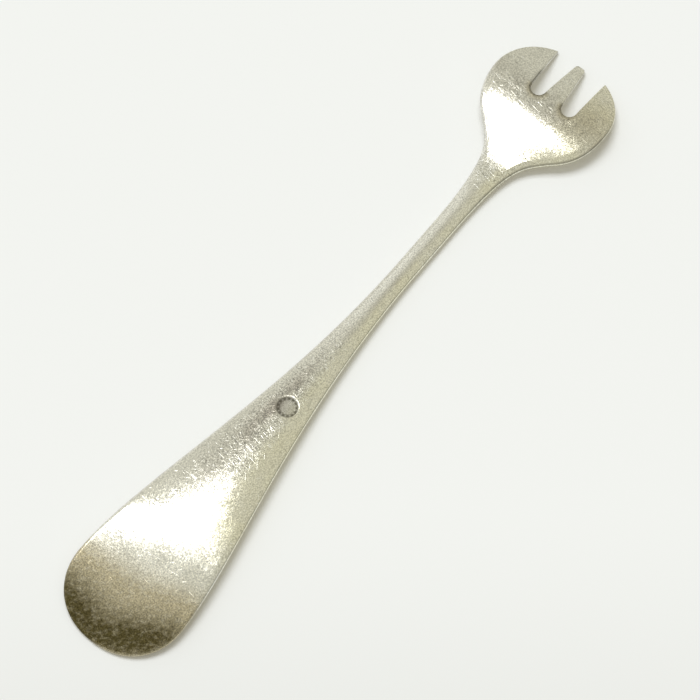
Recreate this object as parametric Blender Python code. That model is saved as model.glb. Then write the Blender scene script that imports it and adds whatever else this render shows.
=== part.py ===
"""A three-tined snail fork, struck and filed from one piece of silver.

The fork lies face down, as it is put away: it rests on the points of its two outer tines and on
the turned-down end of its handle, with its rounded back up. X runs along the fork from the
handle's end to the tips, Y across it to the left and Z up from the table. The origin is on the
table, under the middle of the fork. Sizes are in millimetres and are turned to metres at the end.
"""
import bpy
import bmesh
import numpy as np

MM = 0.001

# Outline, seen from above.
LENGTH = 150.0
HANDLE_WIDTH = 25.0
HANDLE_END_LENGTH = 11.75
HANDLE_END_FULLNESS = 2.15
STEM_WIDTH = 4.35
STEM_LENGTH = 10.0
NECK_LENGTH = 23.0
SHOULDER_WIDTH = 15.75
SHOULDER_LENGTH = 11.0
HEAD_WIDTH = 26.7
HEAD_FRONT_LENGTH = 11.0
HEAD_FRONT_FULLNESS = 2.2
TIP_SPREAD = 12.15

# How far the outline's curves pull along their tangents, as a share of each curve's own length.
TAPER_PULL = (0.197, 0.469)
NECK_PULL = (0.82, 0.15)
SHOULDER_PULL = (0.09, 0.68)
SHOULDER_SLOPE = 0.96

# Places along the fork where its section is set. The handle's bend and ridge and the slim of the
# stem are measured from the handle's end. Where the neck starts to rise, the top of the head and the
# bend of the tines are measured from the tips.
BEND_FROM_END = 25.4
RIDGE_FROM_END = 39.0
SLIM_FROM_END = 111.0
RISE_FROM_TIPS = 30.0
TOP_FROM_TIPS = 12.0
TINE_BEND_FROM_TIPS = 6.0

# Height of the middle of the back above the table at those places.
BEND_HEIGHT = 3.25
RIDGE_HEIGHT = 3.45
SLIM_HEIGHT = 2.25
RISE_HEIGHT = 2.4
TOP_HEIGHT = 4.1
TINE_BEND_HEIGHT = 2.9

# Thickness of the edge at the handle's end, ridge, slim stem, head and tips. The handle's end and the
# tips lie on the table, and wear has taken this much off below.
HANDLE_END_EDGE = 1.15
HANDLE_EDGE = 1.2
STEM_EDGE = 1.25
HEAD_EDGE = 1.05
TIP_EDGE = 1.05
WEAR = 0.2

# Rise of the back's middle over its edges. The handle's end is level across.
HANDLE_CROWN = 0.31
STEM_CROWN = 0.4
NECK_CROWN = 0.06
HEAD_CROWN = 0.11
TIP_CROWN = 0.1

# The face: how far its middle swells below its edges on the handle and the stem, and how deep the
# head is hollowed.
HANDLE_BELLY = 0.15
STEM_BELLY = 0.35
HEAD_HOLLOW = 0.3
TIP_HOLLOW = 0.1

# How far the edge is rounded, seen from above.
PLATE_ROUND = 0.4
STEM_ROUND = 0.5
TIP_ROUND = 0.2

# The two slots. They were sawn by eye, so their roots lie at unlike distances from the middle.
SLOT_DEPTH = 11.7
SLOT_ROOT_WIDTH = 3.2
LEFT_ROOT_OFFSET = 3.25
RIGHT_ROOT_OFFSET = 4.3
MIDDLE_TINE_TIP = 2.2
OUTER_TINE_POINT = 0.45

# Number of points on each stretch of the outline, across the fork, round its edge and in a root.
END_POINTS = 16
TAPER_POINTS = 26
STEM_POINTS = 3
NECK_POINTS = 14
SHOULDER_POINTS = 9
FRONT_POINTS = 10
ACROSS_POINTS = 15
EDGE_POINTS = 5
ROOT_POINTS = 13

# Cutters reach this far past what they cut, and points closer than the weld are one point.
CUTTER_MARGIN = 3.0
WELD = 0.0001

# Faces that meet at more than this many degrees keep a sharp edge between them.
SHARP_EDGE = 40.0

SILVER_COLOUR = (0.62, 0.59, 0.51, 1.0)
SILVER_ROUGHNESS = 0.32

END_X = -LENGTH / 2
TIP_X = LENGTH / 2
WIDEST_X = END_X + HANDLE_END_LENGTH
HEAD_X = TIP_X - HEAD_FRONT_LENGTH
SHOULDER_X = HEAD_X - SHOULDER_LENGTH
NECK_X = SHOULDER_X - NECK_LENGTH
STEM_X = NECK_X - STEM_LENGTH
BEND_X = END_X + BEND_FROM_END
RIDGE_X = END_X + RIDGE_FROM_END
SLIM_X = END_X + SLIM_FROM_END
RISE_X = TIP_X - RISE_FROM_TIPS
TOP_X = TIP_X - TOP_FROM_TIPS
TINE_BEND_X = TIP_X - TINE_BEND_FROM_TIPS


def clear_scene():
    """Remove whatever the scene holds."""
    for thing in list(bpy.data.objects):
        bpy.data.objects.remove(thing, do_unlink=True)


def bezier(start, start_pull, end_pull, end, count):
    """Points of a cubic curve from start to end, without the end point."""
    t = np.linspace(0.0, 1.0, count, endpoint=False)[:, None]
    start, start_pull, end_pull, end = map(np.array, (start, start_pull, end_pull, end))
    return ((1 - t) ** 3 * start + 3 * t * (1 - t) ** 2 * start_pull
            + 3 * t ** 2 * (1 - t) * end_pull + t ** 3 * end)


def outline():
    """The left half of the outline, from the handle's end to the left tip."""
    handle, stem = HANDLE_WIDTH / 2, STEM_WIDTH / 2
    shoulder, head = SHOULDER_WIDTH / 2, HEAD_WIDTH / 2
    angle = np.linspace(0.0, np.pi / 2, END_POINTS, endpoint=False)
    power = 2 / HANDLE_END_FULLNESS
    end = np.column_stack((WIDEST_X - HANDLE_END_LENGTH * np.cos(angle) ** power,
                           handle * np.sin(angle) ** power))
    run = STEM_X - WIDEST_X
    taper = bezier((WIDEST_X, handle), (WIDEST_X + TAPER_PULL[0] * run, handle),
                   (STEM_X - TAPER_PULL[1] * run, stem), (STEM_X, stem), TAPER_POINTS)
    straight = np.column_stack((np.linspace(STEM_X, NECK_X, STEM_POINTS, endpoint=False),
                                np.full(STEM_POINTS, stem)))
    pull = NECK_PULL[1] * NECK_LENGTH
    neck = bezier((NECK_X, stem), (NECK_X + NECK_PULL[0] * NECK_LENGTH, stem),
                  (SHOULDER_X - pull, shoulder - pull * SHOULDER_SLOPE), (SHOULDER_X, shoulder),
                  NECK_POINTS)
    pull = SHOULDER_PULL[0] * SHOULDER_LENGTH
    rise = bezier((SHOULDER_X, shoulder), (SHOULDER_X + pull, shoulder + pull * SHOULDER_SLOPE),
                  (HEAD_X - SHOULDER_PULL[1] * SHOULDER_LENGTH, head), (HEAD_X, head),
                  SHOULDER_POINTS)
    power = 2 / HEAD_FRONT_FULLNESS
    angle = np.linspace(0.0, np.arccos((TIP_SPREAD / HEAD_WIDTH) ** (1 / power)), FRONT_POINTS)
    reach = HEAD_FRONT_LENGTH / np.sin(angle[-1]) ** power
    front = np.column_stack((HEAD_X + reach * np.sin(angle) ** power, head * np.cos(angle) ** power))
    return np.vstack((end, taper, straight, neck, rise, front))


def along(x, *stations):
    """A smooth curve through the stations along the fork, each a place and the value it has there.

    Each slope is the harmonic mean of the two chords that meet there, and level where they turn
    back, so the curve has no humps of its own. The outermost slopes are those of a parabola.
    """
    place, height = np.array(stations).T
    run = np.diff(place)
    chord = np.diff(height) / run
    slope = np.zeros(len(place))
    same_way = chord[:-1] * chord[1:] > 0
    inner = np.where(same_way, chord[:-1] * chord[1:], 0.0)
    slope[1:-1] = 2 * inner / np.where(same_way, chord[:-1] + chord[1:], 1.0)
    slope[0] = 2 * chord[0] - slope[1]
    slope[-1] = 2 * chord[-1] - slope[-2]
    span = np.clip(np.searchsorted(place, x) - 1, 0, len(run) - 1)
    t = (x - place[span]) / run[span]
    return ((1 + 2 * t) * (1 - t) ** 2 * height[span] + t * (1 - t) ** 2 * run[span] * slope[span]
            + t ** 2 * (3 - 2 * t) * height[span + 1] + t ** 2 * (t - 1) * run[span] * slope[span + 1])


def rings():
    """One closed ring of points round the fork at each point of the outline.

    A ring goes down the left edge, across the face to the right, up the right edge and back over
    the back. The edge is half an ellipse set inwards from the outline, square to it.
    """
    path = outline()
    tangent = np.gradient(path, axis=0)
    tangent[0] = (0.0, 1.0)
    tangent /= np.linalg.norm(tangent, axis=1)[:, None]
    inward = np.column_stack((tangent[:, 1], -tangent[:, 0]))
    x = path[:, 0]
    crest = along(x, (END_X, HANDLE_END_EDGE - WEAR), (BEND_X, BEND_HEIGHT), (RIDGE_X, RIDGE_HEIGHT),
                  (SLIM_X, SLIM_HEIGHT), (RISE_X, RISE_HEIGHT), (TOP_X, TOP_HEIGHT),
                  (TINE_BEND_X, TINE_BEND_HEIGHT), (TIP_X, TIP_EDGE + TIP_CROWN - WEAR))
    edge = along(x, (END_X, HANDLE_END_EDGE), (RIDGE_X, HANDLE_EDGE), (SLIM_X, STEM_EDGE),
                 (TOP_X, HEAD_EDGE), (TIP_X, TIP_EDGE))
    crown = along(x, (END_X, 0.0), (RIDGE_X, HANDLE_CROWN), (SLIM_X, STEM_CROWN), (RISE_X, NECK_CROWN),
                  (TOP_X, HEAD_CROWN), (TIP_X, TIP_CROWN))
    hollow = along(x, (END_X, 0.0), (RIDGE_X, -HANDLE_BELLY), (SLIM_X, -STEM_BELLY), (RISE_X, 0.0),
                   (TOP_X, HEAD_HOLLOW), (TIP_X, TIP_HOLLOW))
    rounding = along(x, (END_X, PLATE_ROUND), (RIDGE_X, PLATE_ROUND), (SLIM_X, STEM_ROUND),
                     (TOP_X, PLATE_ROUND), (TIP_X, TIP_ROUND))
    lift = crest - crown - edge

    angle = np.linspace(np.pi / 2, -np.pi / 2, EDGE_POINTS)
    inset = (rounding[:, None] * (1 - np.cos(angle)))[:, :, None]
    left = path[:, None, :] + inset * inward[:, None, :]
    height = (lift + edge / 2)[:, None] + (edge / 2)[:, None] * np.sin(angle)
    left = np.dstack((left, height))
    right = left[:, ::-1] * (1.0, -1.0, 1.0)

    share = np.linspace(1.0, -1.0, ACROSS_POINTS)[1:-1]
    rise = 1 - share ** 2
    seam = path + rounding[:, None] * inward
    y = seam[:, 1:] * share
    x = np.repeat(seam[:, :1], len(share), axis=1)
    face = np.dstack((x, y, lift[:, None] + hollow[:, None] * rise))
    back = np.dstack((x, y, (lift + edge)[:, None] + crown[:, None] * rise))[:, ::-1]
    return np.concatenate((left, face, right, back), axis=1)


def loft(name, ring_points):
    """A closed mesh over the rings, flat across the last one and drawn together at the first."""
    mesh = bpy.data.meshes.new(name)
    shape = bmesh.new()
    ring_verts = [[shape.verts.new(point) for point in ring] for ring in ring_points * MM]
    for before, after in zip(ring_verts, ring_verts[1:]):
        for i in range(len(before)):
            shape.faces.new((before[i - 1], before[i], after[i], after[i - 1]))
    shape.faces.new(ring_verts[-1])
    bmesh.ops.remove_doubles(shape, verts=shape.verts, dist=WELD * MM)
    bmesh.ops.dissolve_degenerate(shape, edges=shape.edges, dist=WELD * MM)
    bmesh.ops.recalc_face_normals(shape, faces=shape.faces)
    shape.to_mesh(mesh)
    shape.free()
    return bpy.data.objects.new(name, mesh)


def slot_outline(side, root_offset):
    """A slot's outline: a round root, and straight walls that open towards the tips."""
    radius = SLOT_ROOT_WIDTH / 2
    root = np.array((TIP_X - SLOT_DEPTH + radius, root_offset))
    inner_mouth = np.array((TIP_X, MIDDLE_TINE_TIP / 2))
    outer_mouth = np.array((TIP_X, TIP_SPREAD / 2 - OUTER_TINE_POINT))
    inner_angle = tangent_angle(root, inner_mouth, radius, -1)
    outer_angle = tangent_angle(root, outer_mouth, radius, 1)
    angle = np.linspace(outer_angle, inner_angle + 2 * np.pi, ROOT_POINTS)
    arc = root + radius * np.column_stack((np.cos(angle), np.sin(angle)))
    walls = [past_mouth(arc[-1], inner_mouth), past_mouth(arc[0], outer_mouth)]
    points = np.vstack((arc, walls))
    points[:, 1] *= side
    return points


def tangent_angle(centre, point, radius, side):
    """The angle round a circle at which a line to an outside point leaves it, on one side."""
    towards = point - centre
    return np.arctan2(towards[1], towards[0]) + side * np.arccos(radius / np.linalg.norm(towards))


def past_mouth(root_point, mouth_point):
    """Where a slot's wall, carried on straight past the tips, leaves the cutter."""
    wall = mouth_point - root_point
    return mouth_point + wall * CUTTER_MARGIN / wall[0]


def slot_cutter(name, side, root_offset):
    """A slot's outline carried straight up through the head."""
    mesh = bpy.data.meshes.new(name)
    shape = bmesh.new()
    top = TOP_HEIGHT + CUTTER_MARGIN
    corners = np.insert(slot_outline(side, root_offset), 2, -CUTTER_MARGIN, axis=1) * MM
    floor = shape.faces.new([shape.verts.new(corner) for corner in corners])
    raised = bmesh.ops.extrude_face_region(shape, geom=[floor])["geom"]
    raised = [part for part in raised if isinstance(part, bmesh.types.BMVert)]
    bmesh.ops.translate(shape, verts=raised, vec=(0.0, 0.0, (top + CUTTER_MARGIN) * MM))
    bmesh.ops.recalc_face_normals(shape, faces=shape.faces)
    shape.to_mesh(mesh)
    shape.free()
    return bpy.data.objects.new(name, mesh)


def table_cutter():
    """A slab whose top is the table: it leaves the wear flats on the tips and the handle's end."""
    mesh = bpy.data.meshes.new("table_cutter")
    shape = bmesh.new()
    bmesh.ops.create_cube(shape, size=1.0)
    size = (LENGTH + 2 * CUTTER_MARGIN, HEAD_WIDTH + 2 * CUTTER_MARGIN, CUTTER_MARGIN)
    bmesh.ops.scale(shape, verts=shape.verts, vec=[side * MM for side in size])
    bmesh.ops.translate(shape, verts=shape.verts, vec=(0.0, 0.0, -CUTTER_MARGIN / 2 * MM))
    shape.to_mesh(mesh)
    shape.free()
    return bpy.data.objects.new("table_cutter", mesh)


def cut(piece, cutter):
    """Take one cutter out of a piece."""
    modifier = piece.modifiers.new(cutter.name, "BOOLEAN")
    modifier.operation = "DIFFERENCE"
    modifier.object = cutter


def silver():
    """Worn silver: pale, a little warm, with a satin gloss."""
    material = bpy.data.materials.new("worn_silver")
    material.use_nodes = True
    shader = material.node_tree.nodes["Principled BSDF"]
    shader.inputs["Base Color"].default_value = SILVER_COLOUR
    shader.inputs["Metallic"].default_value = 1.0
    shader.inputs["Roughness"].default_value = SILVER_ROUGHNESS
    return material


def collection(name):
    """A new collection in the scene."""
    group = bpy.data.collections.new(name)
    bpy.context.scene.collection.children.link(group)
    return group


def main():
    clear_scene()
    parts, cutters = collection("snail_fork"), collection("cutters")
    fork = loft("fork", rings())
    fork.data.materials.append(silver())
    fork.data.shade_smooth()
    fork.data.set_sharp_from_angle(angle=np.radians(SHARP_EDGE))
    parts.objects.link(fork)
    for cutter in (slot_cutter("left_slot", 1, LEFT_ROOT_OFFSET),
                   slot_cutter("right_slot", -1, RIGHT_ROOT_OFFSET),
                   table_cutter()):
        cutter.hide_render = True
        cutter.display_type = "WIRE"
        cutters.objects.link(cutter)
        cut(fork, cutter)


main()
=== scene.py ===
"""A worn three-tined silver snail fork on a pale table, laid out as a Blender add-on.

The fork is one piece of silver, lying face down. X runs along it from the handle's end to the tips,
Y across it to the left and Z up from the table. Sizes are in metres, written as millimetres times MM.
"""
from collections import namedtuple

import bpy
import numpy as np
from bpy.props import (FloatProperty, FloatVectorProperty, IntProperty, IntVectorProperty,
                       PointerProperty, StringProperty)
from mathutils import Matrix, Vector


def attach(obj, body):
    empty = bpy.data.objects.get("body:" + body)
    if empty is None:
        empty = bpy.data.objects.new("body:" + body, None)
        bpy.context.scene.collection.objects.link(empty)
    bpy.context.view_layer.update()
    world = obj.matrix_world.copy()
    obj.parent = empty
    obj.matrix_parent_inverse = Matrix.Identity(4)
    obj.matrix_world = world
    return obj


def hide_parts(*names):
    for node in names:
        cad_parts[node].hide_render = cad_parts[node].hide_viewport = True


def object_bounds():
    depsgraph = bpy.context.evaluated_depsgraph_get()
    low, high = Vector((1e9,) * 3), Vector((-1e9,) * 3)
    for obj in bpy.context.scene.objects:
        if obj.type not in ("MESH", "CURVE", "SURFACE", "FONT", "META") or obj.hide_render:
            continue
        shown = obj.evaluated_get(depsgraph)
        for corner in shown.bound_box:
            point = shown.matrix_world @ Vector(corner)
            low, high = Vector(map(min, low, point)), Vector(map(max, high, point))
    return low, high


bl_info = {
    "name": "Worn Silver Snail Fork",
    "version": (1, 0, 0),
    "blender": (4, 5, 0),
    "location": "3D View > Sidebar > Snail Fork",
    "description": "Builds a worn three-tined silver fork with its table, light and camera",
    "category": "Add Mesh",
}

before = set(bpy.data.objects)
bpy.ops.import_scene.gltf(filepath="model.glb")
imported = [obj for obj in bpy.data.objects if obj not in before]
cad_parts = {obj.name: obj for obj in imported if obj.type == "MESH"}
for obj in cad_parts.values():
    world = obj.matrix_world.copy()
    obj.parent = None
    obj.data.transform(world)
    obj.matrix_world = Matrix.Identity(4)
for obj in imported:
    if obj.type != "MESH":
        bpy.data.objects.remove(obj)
CAD_LOW, CAD_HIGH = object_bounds()

MM = 0.001
END_X = CAD_LOW.x
TIP_X = CAD_HIGH.x
HEAD_WIDTH = CAD_HIGH.y - CAD_LOW.y
STATIONS = ("At the handle's end, its bend and ridge, the waist and the slim of the stem, the neck, "
            "the head's brow and top, and the tines' middle and tips")

# Outline: points on each stretch, and the reach of each curve's handles as shares of its run.
OUTLINE_SAMPLES = 600
TAPER_PULL = (0.197, 0.469)
NECK_PULL = (0.82, 0.15)
SHOULDER_PULL = (0.09, 0.68)

# Mesh: half the first row's width, where rows begin to bend and to fan out, the reach of the fine rows
# past the mark, the share across that counts as the outline, and the limit that keeps mitres short.
END_ROW = 0.8 * MM
BEND_START = 20.0 * MM
FAN_START = 45.0 * MM
MARK_MARGIN = 0.6 * MM
OUTLINE_SHARE = 0.999
MITRE_LIMIT = 0.7

# Share across the fork over which the roll of its edges changes from the right's to the left's.
ROLL_CHANGE = (-0.5, 0.5)

# Punched mark, in shares of its radius.
BEAD_RING = 0.8
BEAD_RADIUS = 0.135
FLOOR_EDGE = 0.92
DISH_REACH = 0.15

# Wear: two numbers are the start and the end of a smooth step, or the middle and the reach of a bell
# curve. A single number is a size or an amount. Shares across are of half the fork's width, left is
# positive, and 1 is the edge.
EDGE_STEP = (0.9, 0.99)

# Tarnish of the handle's end, what is rubbed off its right border and rim, and a patch on the head.
TARNISH_MIDDLE = END_X + 10.5 * MM
TARNISH_RUN = 17.5 * MM
TARNISH_SLANT = 0.44
TARNISH_STEEPENING = 40.0 * MM
TARNISH_MOST = 0.97
RUBBED_STEP = (2.0 * MM, -5.0 * MM)
BORDER_STEP = (0.84, 1.0)
BORDER_LOSS = 0.14
RIM_LOSS = 0.4
HEAD_TARNISH = 0.25
HEAD_TARNISH_PLACE = (66.0 * MM, -9.5 * MM)
HEAD_TARNISH_REACH = 6.5 * MM

# Yellow film on the right.
FILM_ACROSS = (0.05, -0.6)
FILM_START = (END_X + 22.0 * MM, END_X + 32.0 * MM)

# Painted dark reflection along the right rim, most on the neck and none on the head's front, and dirt with
# painted shade along the slots' rims.
RIM_PAINTED_REFLECTION = 0.1
RIM_REFLECTION_BAND = (0.6, 0.28)
RIM_REFLECTION_START = (0.0, 0.2)
NECK_PAINTED_REFLECTION = 0.5
NECK_STEP = (25.0 * MM, 45.0 * MM)
FRONT_STEP = (72.0 * MM, 62.0 * MM)
SLOT_RIM_DIRT_AND_SHADE = 0.06

# Dirt with painted shade on each slot's outer wall and on the outer and inner sides of its root, and the
# root's tarnish.
LEFT_SLOT_DIRT_AND_SHADE = (0.65, 0.65, 0.6)
RIGHT_SLOT_DIRT_AND_SHADE = (0.1, 0.2, 0.55)
WALL_DIRT_AND_SHADE_REACH = 0.22 * MM
WALL_DIRT_AND_SHADE_END = (0.6, 0.3)
ROOT_TURN = (-0.7, 0.7)
ROOT_BACK = (0.3, -0.2)
ROOT_DIRT_AND_SHADE_REACH = 0.25 * MM
ROOT_TARNISH = 0.3
ROOT_TARNISH_REACH = 1.1 * MM

# Dirt in the mark, most between its beads, by shares of the mark's radius.
MARK_DIRT = 0.3
BEAD_DIRT = 0.55
BEAD_DIRT_BAND = (0.82, 0.14)
MARK_DIRT_EDGE = 0.97

# Scratches crowd round the mark, before the slots, on the head's left and on the neck. They are few
# elsewhere, lie hidden under tarnish, and start at a share of the mark's radius outside it.
FEW_SCRATCHES = 0.04
TARNISH_HIDES = 0.6
MARK_CLEAR = (1.0, 1.3)
HANDLE_SCRATCHES = (-20.0 * MM, 17.0 * MM)
HANDLE_RIGHT = (-0.75, -0.1)
HANDLE_LEFT = (0.98, 0.6)
BROW_CROWD = 0.35
BROW_SCRATCHES = (62.0 * MM, 4.0 * MM)
BROW_SIDES = (1.0, 0.7)
HEAD_CROWD = 0.6
HEAD_CROWD_PLACE = (62.4 * MM, 8.0 * MM)
HEAD_CROWD_REACH = 2.8 * MM
HEAD_CROWD_STRETCH = 0.8
NECK_CROWD = 0.5
NECK_SCRATCHES = (46.0 * MM, 4.0 * MM)

# Painted dark reflection on the handle by the mark, on the left rim and on the slots' walls, and grey
# patina before the slots and along the stem.
HANDLE_PAINTED_REFLECTION = 1.1
HANDLE_REFLECTION_ALONG = (-21.0 * MM, 17.0 * MM)
HANDLE_REFLECTION_ACROSS = (0.35, 0.42)
BROW_PATINA = 0.6
BROW_PATINA_ALONG = (62.5 * MM, 3.5 * MM)
STEM_PATINA = 0.35
STEM_PATINA_START = (-12.0 * MM, 4.0 * MM)
STEM_PATINA_END = (44.0 * MM, 34.0 * MM)
STEM_PATINA_ACROSS = (-0.1, 0.4)
LEFT_RIM_PAINTED_REFLECTION = 0.6
SLOT_WALL_PAINTED_REFLECTION = 0.8
SLOT_WALL_START = (50.0 * MM, 55.0 * MM)

# Each family of scratches: direction in degrees, length and width of one in millimetres, and the share
# of places that have one where they crowd.
BRIGHT_SCRATCHES = ((80, 2.4, 0.12, 0.22), (38, 2.0, 0.12, 0.12), (128, 1.2, 0.13, 0.14))
DARK_SCRATCHES = ((97, 2.2, 0.12, 0.22), (62, 1.8, 0.12, 0.14), (150, 1.4, 0.13, 0.12))
SCRATCH_EDGE = (0.5, 0.2)

# Sizes of the silver's patterns, and the direction, length and width of its wiped mottling.
SPECKLE = 0.28 * MM
FACET = 0.26 * MM
FACET_TILT = 0.018
RIPPLE = 7.0 * MM
SMUDGE = 5.0 * MM
WIPED_TURN = np.radians(-51)
WIPED_SIZE = (1.3 * MM, 0.9 * MM, 1.0)
MOTTLE_ROUGHNESS = 0.7

# Noise: octaves of a plain and of a cloudy pattern, and the middle and the usual range of its values.
PLAIN_DETAIL = 1.0
CLOUDY_DETAIL = 4.0
NOISE_MIDDLE = 0.5
NOISE_RANGE = (0.3, 0.7)

# Tarnish at which its thin and its thick colour come in, and each layer's cover from patch to patch.
THIN_TARNISH = (0.0, 0.5)
THICK_TARNISH = (0.45, 1.0)
FILM_COVER = (0.35, 1.1)
PATINA_AND_REFLECTION_COVER = (0.2, 1.0)
THIN_COVER = (0.8, 1.2)
THICK_COVER = (0.7, 1.25)
DIRT_SHADE_AND_REFLECTION_COVER = (0.8, 1.15)

# Brightness, roughness and, in millimetres, the height that each pattern gives the silver.
POLISH_BRIGHTNESS = 0.99
SPECKLE_SPREAD = (1.0, 2.1)
# The bright scratches lighten the colour, partly as fresh metal and partly as a painted glint.
BRIGHT_SCRATCH_AND_GLINT_GAIN = 0.4
DARK_GAIN = -0.45
POLISH_ROUGHNESS = (0.08, 0.13)
TARNISH_ROUGHNESS = 0.1
DIRT_SHADE_AND_REFLECTION_ROUGHNESS = 0.5
RIPPLE_HEIGHT = 0.022
SPECKLE_HEIGHT = 0.002
SCRATCH_HEIGHT = -0.0025

# Table: its width, its sheen, the light it scatters, and the shade painted on it towards the camera.
TABLE_WIDTH = 12.0
TABLE_ROUGHNESS = 0.9
TABLE_GLOW = 0.17
TABLE_SHADE = 0.91
TABLE_SHADE_STEP = (-90.0 * MM, -30.0 * MM)

# Each lamp leans to the camera's right and away from it, and slides along its own width. Its sizes are
# shares of its distance. The silver mirrors the strip alone.
Lamp = namedtuple("Lamp", "name right away slide width depth radiance mirrored")
LAMPS = (Lamp("strip_light", right=-0.14, away=0.2577, slide=-0.044, width=0.3125, depth=0.066,
              radiance=4.5, mirrored=True),
         Lamp("key_light", right=-0.14, away=0.36, slide=0.0, width=0.7, depth=0.45,
              radiance=7.14, mirrored=False))

# Room: the height at which its walls give way to the light overhead, how far that lies higher on the
# camera's right and lower on the far side, and the share of its light that reaches the table.
SKY_STEP = (0.0, 0.42)
RIGHT_RISE = 0.3
FAR_DROP = 0.35
ROOM_ON_TABLE = 0.6

# Camera: its sensor's width in millimetres, and the nearest that it sees.
SENSOR_WIDTH = 36.0
CLIP_START = 10.0 * MM


def length(label, description, millimetres):
    """A length that a user can change."""
    return FloatProperty(name=label, description=description, default=millimetres * MM, unit="LENGTH")


def at_stations(label, description, values, unit="NONE"):
    """One value for each station along the fork."""
    return FloatVectorProperty(name=label, description=f"{description}. {STATIONS}", default=values,
                               size=len(values), unit=unit)


def lengths(label, description, millimetres):
    """One length for each station along the fork."""
    return at_stations(label, description, [value * MM for value in millimetres], "LENGTH")


def colour(label, description, value):
    """A colour written as an sRGB hex value."""
    return StringProperty(name=label, description=description, default=value)


class ForkOutline(bpy.types.PropertyGroup):
    """Sizes of the fork seen from above."""
    handle_width: length("Handle width", "Widest part of the handle", 25.0)
    handle_end_length: length("Handle end", "From the handle's end to its widest part", 11.75)
    handle_end_fullness: FloatProperty(name="End fullness", default=2.15,
                                       description="2 is an ellipse, and more is squarer")
    stem_width: length("Stem width", "Width of the slim, straight stem", 4.35)
    stem_length: length("Stem length", "Length of the straight stem", 10.0)
    neck_length: length("Neck length", "From the straight stem to the shoulder", 23.0)
    shoulder_width: length("Shoulder width", "Width where the neck turns out into the head", 15.75)
    shoulder_length: length("Shoulder length", "From the shoulder to the head's widest part", 11.0)
    shoulder_slope: FloatProperty(name="Shoulder slope", default=0.96,
                                  description="Rise of the edge over its run at the shoulder")
    head_front_length: length("Head front", "From the head's widest part to the tips", 11.0)
    head_front_fullness: FloatProperty(name="Front fullness", default=2.2,
                                       description="2 is an ellipse, and more is squarer")
    tip_spread: length("Tip spread", "Distance over the two outer points", 12.15)
    slot_depth: length("Slot depth", "From the tips to a slot's root", 11.7)
    slot_root_width: length("Slot root width", "Diameter of a slot's round root", 3.2)
    left_root_offset: length("Left root", "From the middle to the left slot's root", 3.25)
    right_root_offset: length("Right root", "From the middle to the right slot's root", 4.3)
    middle_tine_tip: length("Middle tip", "Width of the middle tine's end", 2.2)
    outer_tine_point: length("Outer points", "Width of an outer tine's point", 0.3)
    tip_wear: length("Tip wear", "How far the middle tip's corners have worn in", 0.3)
    handle_bow: length("Handle bow", "How far the handle's end lies to the right of the stem", 0.32)
    bow_length: length("Bow length", "Length of the handle that bows", 50.0)


class ForkSection(bpy.types.PropertyGroup):
    """Heights and thicknesses along the fork."""
    stations: lengths("Stations", "Distance from the handle's end",
                      (0.0, 27.1, 37.3, 85.0, 111.0, 119.7, 136.1, 138.7, 144.2, 150.0))
    back: lengths("Back", "Height of the middle of the back",
                  (0.95, 3.46, 3.55, 2.6, 2.24, 2.35, 3.98, 4.1, 2.9, 0.95))
    crown: lengths("Crown", "Rise of the back's middle over its edges",
                   (-0.04, 0.19, 0.225, 0.42, 0.4, 0.0, 0.12, 0.12, 0.15, 0.1))
    crown_power: at_stations("Crown power", "2 is a parabola, and less is a ridge",
                             (2.0, 2.0, 2.0, 1.5, 1.4, 2.2, 3.0, 2.0, 2.0, 2.0))
    edge: lengths("Edge", "Thickness of the edge",
                  (1.07, 1.2, 1.2, 1.25, 1.25, 1.2, 1.05, 1.05, 1.0, 0.97))
    hollow: lengths("Hollow", "Rise of the face's middle over its edges",
                    (0.0, -0.1, -0.15, -0.35, -0.35, 0.0, 0.3, 0.3, 0.2, 0.1))
    roll: lengths("Roll", "Drop of the back where polishing has rolled its edge over",
                  (0.0, 0.02, 0.06, 0.04, 0.03, 0.25, 0.11, 0.08, 0.06, 0.03))
    roll_reach: lengths("Roll reach", "Reach of that roll, inwards from the edge",
                        (0.6, 0.8, 1.4, 1.4, 0.9, 0.8, 1.15, 0.7, 0.6, 0.4))
    left_roll: FloatProperty(name="Left roll", default=0.3,
                             description="Share of the roll that the fork's left edge has")
    rounding: lengths("Rounding", "Reach of the edge's rounding, seen from above",
                      (0.45, 0.55, 0.7, 0.7, 0.6, 0.6, 0.55, 0.5, 0.35, 0.2))
    slot_rounding: length("Slot rounding", "Reach of the rounding on the slots' edges", 0.2)
    edge_fullness: FloatProperty(name="Edge fullness", default=2.3,
                                 description="2 is a round edge, and more is squarer")


class PunchMark(bpy.types.PropertyGroup):
    """The round mark punched into the back, with plain beads and no lettering."""
    place: FloatVectorProperty(name="Place", description="Middle of the mark, seen from above", size=2,
                               default=(-17.6 * MM, -0.4 * MM), unit="LENGTH")
    diameter: length("Diameter", "Diameter of the punched mark", 4.3)
    depth: length("Depth", "Depth of its floor", 0.22)
    dish: length("Dish", "Depth that the metal round it is drawn down", 0.016)
    beads: IntProperty(name="Beads", description="Number of beads round the mark", default=13)
    bead_height: length("Bead height", "Height of the beads over the floor", 0.1)


class MeshDetail(bpy.types.PropertyGroup):
    """Spacing of the fork's mesh."""
    row_step: length("Row step", "Spacing of rows along the edge", 0.5)
    mark_step: length("Mark step", "Spacing of rows at the punched mark", 0.1)
    tine_rows: IntProperty(name="Tine rows", description="Rows along a tine", default=26)
    edge_steps: IntProperty(name="Edge steps", description="Steps round the edge", default=10)
    columns: IntVectorProperty(
        name="Columns", size=5, default=(26, 21, 13, 21, 24),
        description="Columns in the left tine, left root, middle tine, right root and right tine")


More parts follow.
